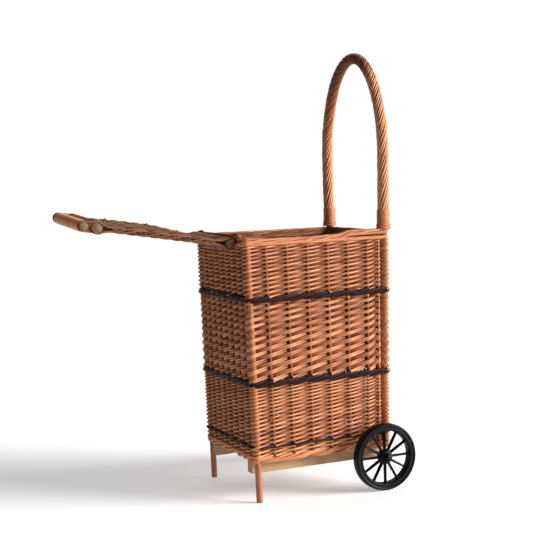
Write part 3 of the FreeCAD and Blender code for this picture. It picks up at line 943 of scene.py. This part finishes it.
def end_loops(rods, sy, rod, way):
    """Two drop-shaped loops that tie the end of a cross rod to the plait."""
    wrap = LID_ROD_R + STRAND_R
    drop = [(-wrap, 0), (0, wrap), (18 * mm, 6.0 * mm), (40 * mm, 1.6 * mm),
            (40 * mm, -1.6 * mm), (18 * mm, -6.0 * mm), (0, -wrap)]
    for row in (0, 1):
        y = sy * (LID_HALF - (2.6 + 4.2 * row) * mm)
        points = [on_lid(rod, y, above, way * along) for along, above in drop]
        line, _ = curve_through(points, 3 * mm, closed=True)
        rods.add(line, STRAND_R, 8, 0.75, closed=True)


def build_lid_weave():
    """Loops side by side across the lid, its plaited edges, and the winding of its two cross rods."""
    rods = Rods(71)
    pitch = 4 * STRAND_R * 0.98
    half = LID_HALF - 3 * mm
    count = int(2 * half / pitch)
    for k in range(count):
        y = (k - (count - 1) / 2) * pitch
        line, _ = curve_through(lid_strand(rods, y), 4.5 * mm, closed=True)
        rods.add(line, STRAND_R * (1 + 0.05 * rods.random.normal()), 7, closed=True)
    for sy in (-1, 1):
        edge_plait(rods, sy, half)
        end_loops(rods, sy, INNER, 1)
        end_loops(rods, sy, OUTER, -1)
    for rod in (INNER, OUTER):
        for k in range(2 * count - 1):
            y = (k / 2 - (count - 1) / 2) * pitch
            if abs(y) > LID_HALF - STICK_ENDS:
                continue
            rods.add(ring_round(rod, y, WIND_R, 20), STRAND_R, 7, closed=True, squash=0.75)
    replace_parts(rods.build("lid_strands", "lid", LID_WILLOW, PALE_END), "lid_weave")


def build_grip():
    """Flat skein wound closely round the grip, turn beside turn, the last turns a little smaller."""
    lo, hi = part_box("grip_wrap")
    outer = (hi.z - lo.z) / 2
    half = (hi.y - lo.y) / 2
    wide = 9.2 * mm
    thick = 1.25 * mm
    swell = wide * 0.53
    turns = int(2 * half / wide)
    rods = Rods(77)
    stick(rods, on_lid(GRIP, 1 * mm - half), on_lid(GRIP, half - 1 * mm), outer - thick, 6, bend=0.0)
    for turn in range(turns):
        y = (turn + 0.5) * 2 * half / turns - half
        reach = outer - thick - (1.0 * mm if turn in (0, turns - 1) else 0.0)
        reach -= 0.25 * mm * rods.random.random()
        ring = ring_round(GRIP, y, reach, 36, 0.7 * mm)
        tone = 0.45 + 0.35 * rods.random.random()
        rods.add(ring, swell, 12, tone, closed=True, squash=thick / swell)
    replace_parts(rods.build("grip_winding", "lid", GRIP_WILLOW, PALE_END), "grip_wrap")


def belt_points(a, b, ra, rb, y, steps=14):
    """A closed line round two parallel rods."""
    run = b - a
    heading = math.atan2(run[2], run[0])
    lean = math.acos((ra - rb) / np.linalg.norm(run))
    points = []
    for centre, radius, first, last in ((a, ra, heading + lean, heading + 2 * math.pi - lean),
                                        (b, rb, heading - lean, heading + lean)):
        for i in range(steps):
            angle = first + (last - first) * i / (steps - 1)
            points.append(centre + np.array([math.cos(angle) * radius, y, math.sin(angle) * radius]))
    return points


def build_loops():
    """Willow ties of the lid to its hinge rod and of the grip to the outer rod, and the hinge rod itself."""
    hinge = next(j for j in frame["joints"] if j["name"] == "lid_swing")["pos_m"]
    pivot = np.array([hinge[0], 0, hinge[2]])
    cane = 1.5 * mm
    for name, node, a, b, ra, rb in (
        ("hinge_ties", "hinge_loops", INNER, pivot, LID_ROD_R + cane, 3.6 * mm + cane),
        ("grip_ties", "grip_straps", OUTER, GRIP, LID_ROD_R + cane, 9.0 * mm + cane),
    ):
        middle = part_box(node)[1].y - 4.5 * mm
        rods = Rods(81)
        for sy in (-1, 1):
            if node == "grip_straps":
                for part in (0.4, 0.7):
                    between = OUTER + (GRIP - OUTER) * part
                    plug = [on_lid(between, sy * (middle + f * mm)) for f in (-5, 0, 3.2)]
                    rods.add(plug, 8.6 * mm, 16, 0.5)
            for row in (-1, 0, 1):
                y = sy * middle + row * 2.9 * mm
                shift = np.array([0, y, 0])
                near_a = askew(a + shift) - shift
                near_b = b if node == "hinge_loops" else askew(b + shift) - shift
                rods.add(belt_points(near_a, near_b, ra, rb, y), cane, 7, closed=True)
        skin = TIE if node == "hinge_loops" else LID_WILLOW
        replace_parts(rods.build(name, "lid", skin), node)
    lo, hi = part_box("hinge_rod")
    rods = Rods(83)
    stick(rods, (pivot[0], lo.y, pivot[2]), (pivot[0], hi.y, pivot[2]), 3.4 * mm, 8, bend=0.0, sides=12)
    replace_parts(rods.build("hinge_stick", "basket", STAKE), "hinge_rod")


# ---- base and wheels

def build_base():
    """A woven base: sticks along the basket with fine rods worked across them."""
    lo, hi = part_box("base_panel")
    z = (lo.z + hi.z) / 2
    rods = Rods(91)
    sticks = 5
    centre_y = (lo.y + hi.y) / 2
    ys = [lo.y + (hi.y - lo.y) * (i + 0.5) / sticks for i in range(sticks)]
    stick_r = 3.4 * mm
    weaver_r = 2.1 * mm
    for i, y in enumerate(ys):
        stick(rods, (lo.x + 1 * mm, y, z), (hi.x - 1 * mm, y, z), stick_r, 40 + i, bend=0.0, sides=9)
    rows = int((hi.x - lo.x) / (2 * weaver_r * 1.02))
    for row in range(rows):
        x = lo.x + (row + 0.5) * (hi.x - lo.x) / rows
        points = [(x, lo.y, z)]
        for i, y in enumerate(ys):
            points.append((x, y, z + (1 if (row + i) % 2 else -1) * (stick_r + weaver_r) * 0.95))
        points.append((x, hi.y, z))
        line, _ = curve_through(points, 8 * mm)
        rods.add(line, weaver_r, 6)
    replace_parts(rods.build("woven_base", "basket", WILLOW, PALE_END), "base_panel")
    for node in ("base_batten_front", "base_batten_back"):
        paint(node, BOARD)
    for node in ("axle", "axle_washer_front", "axle_washer_back"):
        paint(node, STEEL)


def paint(node, material):
    """Gives a CAD node that stays its own material."""
    mesh = frame["nodes"][node].data
    mesh.materials.clear()
    mesh.materials.append(material)


def both_sides(points):
    """An outline of (radius, along Y) points from its front half."""
    return points + [(r, -y) for r, y in reversed(points)]


def rounded(points, radius, steps=4):
    """A closed outline with its corners rounded."""
    out = []
    n = len(points)
    for i in range(n):
        a, b, c = (Vector(points[(i + k) % n]) for k in (-1, 0, 1))
        cut = min(radius, (a - b).length * 0.45, (c - b).length * 0.45)
        p = b + (a - b).normalized() * cut
        q = b + (c - b).normalized() * cut
        for s in range(steps + 1):
            t = s / steps
            out.append(tuple((1 - t) ** 2 * p + 2 * t * (1 - t) * b + t * t * q))
    return out


def build_wheel(name, body):
    """A one-piece black wheel: rounded tyre, rim, twelve slim spokes and a stepped hub."""
    lo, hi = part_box("tyre_" + name)
    centre = (lo + hi) / 2
    r = (hi.z - lo.z) / 2
    half = (hi.y - lo.y) / 2
    inner = 67.4 * mm
    front = [(inner, -half + 1.5 * mm), (r - 2 * mm, -half), (r, -half + 6 * mm)]
    outline = rounded(both_sides(front), 3.5 * mm)
    tyre = lathe("tyre_ring_" + name, outline, centre, 96, TYRE, body)
    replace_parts(tyre, "tyre_" + name)
    rim_in = 59.5 * mm
    edge = half - 1.3 * mm
    rim_out = inner + 1 * mm
    lip = rim_in + 2.5 * mm
    front = [(rim_in, -edge + 3 * mm), (lip, -edge), (rim_out, -edge + 0.3 * mm)]
    outline = rounded(both_sides(front), 1.6 * mm)
    rim = lathe("rim_ring_" + name, outline, centre, 96, TYRE, body)
    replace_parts(rim, "wheel_" + name)
    hub_r = 16 * mm
    bore = 5.1 * mm
    nose = 11 * mm
    foot = 11.6 * mm
    step = hub_r - 1.5 * mm
    front = [(bore, -half), (nose, -half), (foot, -half + 2 * mm), (step, -half + 2.6 * mm),
             (hub_r, -half + 6 * mm)]
    hub = rounded(both_sides(front), 1.2 * mm, 3)
    lathe("hub_" + name, hub, centre, 48, BLACK, body)
    spokes = Rods(101)
    count = 12
    for i in range(count):
        a = 2 * math.pi * i / count
        out = np.array([math.sin(a), 0, math.cos(a)])
        f = np.linspace(0, 1, 9)
        start = hub_r - 2 * mm
        end = rim_in + 2 * mm
        line = np.array(centre) + out * (start + (end - start) * f)[:, None]
        thick = (5.0 + 1.0 * (1 - f) + 1.6 * np.clip((f - 0.88) / 0.12, 0, 1) ** 2) * mm
        spokes.add(line, thick, 14, 0.5, squash=0.5)
    spokes.build("spokes_" + name, body, BLACK)
    lo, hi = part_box("axle_cap_" + name)
    sy = 1 if lo.y > 0 else -1
    middle = Vector(((lo.x + hi.x) / 2, lo.y if sy > 0 else hi.y, (lo.z + hi.z) / 2))
    deep = hi.y - lo.y
    cap_r = (hi.x - lo.x) / 2
    dome = [(0.01 * mm, 0.0), (cap_r, 0.0), (cap_r, 0.3 * deep)]
    for k in range(1, 8):
        a = math.pi / 2 * k / 8
        dome.append((cap_r * math.cos(a), (0.3 + 0.7 * math.sin(a)) * deep))
    dome.append((0.01 * mm, deep))
    dome = [(p, sy * q) for p, q in dome]
    cap = lathe("hub_cap_" + name, dome, middle, 40, BLACK, "basket")
    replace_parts(cap, "axle_cap_" + name)


# ---- floor, light and camera

def build_stage():
    """A pale floor, and a room that the camera sees as white paper."""
    size = 1.4
    mesh = bpy.data.meshes.new("floor")
    corners = [(-size, -size, 0), (size, -size, 0), (size, size, 0), (-size, size, 0)]
    mesh.from_pydata(corners, [], [(0, 1, 2, 3)])
    paper = Skin("floor_paint")
    paper.inputs["Base Color"].default_value = (0.93, 0.93, 0.93, 1)
    paper.inputs["Roughness"].default_value = 0.9
    paper.inputs["Emission Color"].default_value = (1, 1, 1, 1)
    paper.inputs["Emission Strength"].default_value = 0.32
    mesh.materials.append(paper.material)
    floor = bpy.data.objects.new("floor", mesh)
    bpy.context.scene.collection.objects.link(floor)
    world = bpy.data.worlds.new("studio")
    bpy.context.scene.world = world
    world.use_nodes = True
    nodes = world.node_tree.nodes
    links = world.node_tree.links
    room = nodes["Background"]
    room.inputs["Color"].default_value = (1, 1, 1, 1)
    room.inputs["Strength"].default_value = 0.15
    backdrop = nodes.new("ShaderNodeBackground")
    backdrop.inputs["Color"].default_value = (1, 1, 1, 1)
    seen = nodes.new("ShaderNodeLightPath")
    both = nodes.new("ShaderNodeMixShader")
    links.new(seen.outputs["Is Camera Ray"], both.inputs[0])
    links.new(room.outputs[0], both.inputs[1])
    links.new(backdrop.outputs[0], both.inputs[2])
    links.new(both.outputs[0], nodes["World Output"].inputs["Surface"])
    bpy.context.scene.view_settings.view_transform = "Standard"


def soft_sun(name, azimuth, height, spread, strength):
    """A broad soft light from far off. Azimuth 0 comes from the front, 90 from the wheel side."""
    light = bpy.data.lights.new(name, "SUN")
    light.energy = strength
    light.angle = math.radians(spread)
    lamp = bpy.data.objects.new(name, light)
    a = math.radians(azimuth)
    e = math.radians(height)
    source = Vector((math.sin(a) * math.cos(e), -math.cos(a) * math.cos(e), math.sin(e)))
    lamp.rotation_mode = "QUATERNION"
    lamp.rotation_quaternion = source.to_track_quat("Z", "Y")
    bpy.context.scene.collection.objects.link(lamp)


def build_lights():
    soft_sun("key", azimuth=56, height=17, spread=32, strength=6.2)
    soft_sun("back", azimuth=150, height=45, spread=50, strength=0.5)


def build_camera():
    """The viewpoint: in front and to the left, a little above the rim."""
    data = bpy.data.cameras.new("camera")
    data.sensor_width = 36.0
    data.lens = 83.9
    data.clip_end = 50.0
    camera = bpy.data.objects.new("camera", data)
    yaw = math.radians(24.09)
    pitch = math.radians(4.47)
    roll = math.radians(1.79)
    forward = Vector((math.sin(yaw) * math.cos(pitch), math.cos(yaw) * math.cos(pitch), -math.sin(pitch)))
    right = Vector((math.cos(yaw), -math.sin(yaw), 0))
    down = forward.cross(right)
    tilted_right = right * math.cos(roll) + down * math.sin(roll)
    tilted_down = down * math.cos(roll) - right * math.sin(roll)
    axes = Matrix((tilted_right, -tilted_down, -forward)).transposed()
    camera.matrix_world = axes.to_4x4()
    camera.location = (MID_X - 1.228, -2.604, 0.732)
    bpy.context.scene.collection.objects.link(camera)
    bpy.context.scene.camera = camera


build_camera()
build_stage()
build_lights()
build_walls()
build_stakes()
build_posts()
build_bands()
build_rim()
build_bow()
build_collars()
build_lid_sticks()
build_lid_weave()
build_grip()
build_loops()
build_base()
build_wheel("front", "front_wheel")
build_wheel("back", "back_wheel")
